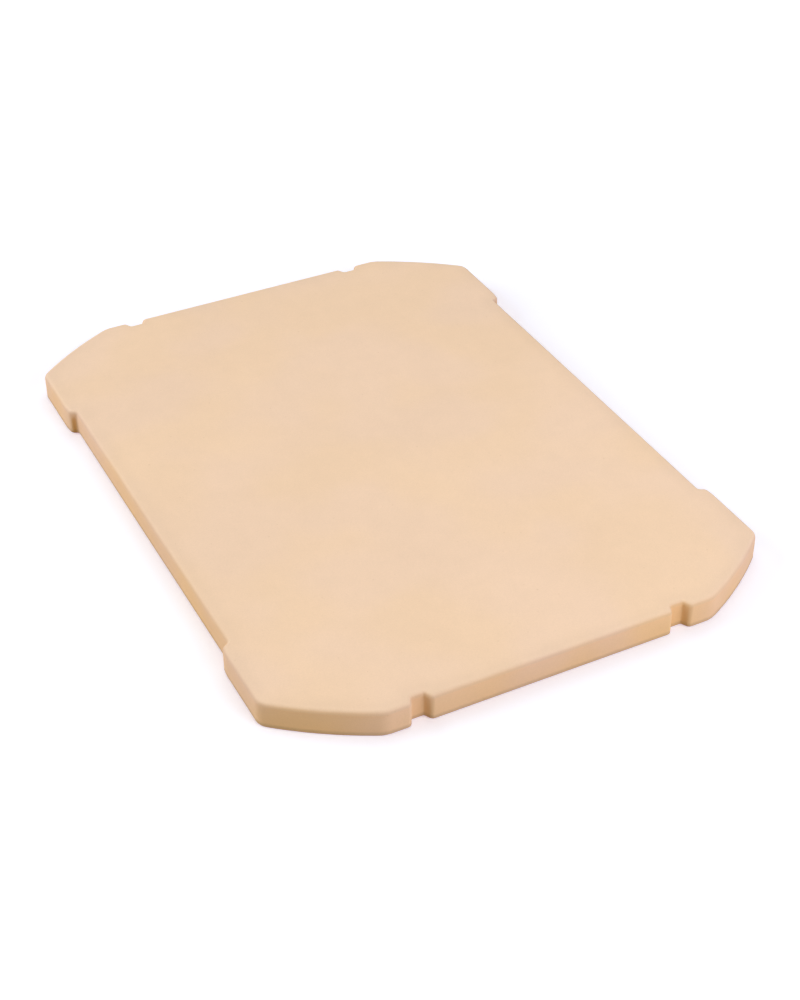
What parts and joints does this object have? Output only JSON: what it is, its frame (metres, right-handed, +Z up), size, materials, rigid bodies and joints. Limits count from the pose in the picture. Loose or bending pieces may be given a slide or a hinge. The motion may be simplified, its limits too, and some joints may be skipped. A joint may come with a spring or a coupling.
{
  "type": "pizza stone",
  "caption": "Rectangular fired-ceramic pizza stone: flat slab with bowed cut corners, corner lugs on its long sides and small notches in its short ends.",
  "frame": {"origin": "middle of the flat underside", "axes": "+X across the short way, +Y along the long way from the near short end to the far one, +Z up out of the cooking face"},
  "size_m": [0.33, 0.45, 0.0175],
  "materials": {
    "fired_clay": "matte, unglazed, fine grain, warm beige"
  },
  "bodies": {
    "root": {"pizza_stone": "fired_clay"}
  },
  "joints": []
}
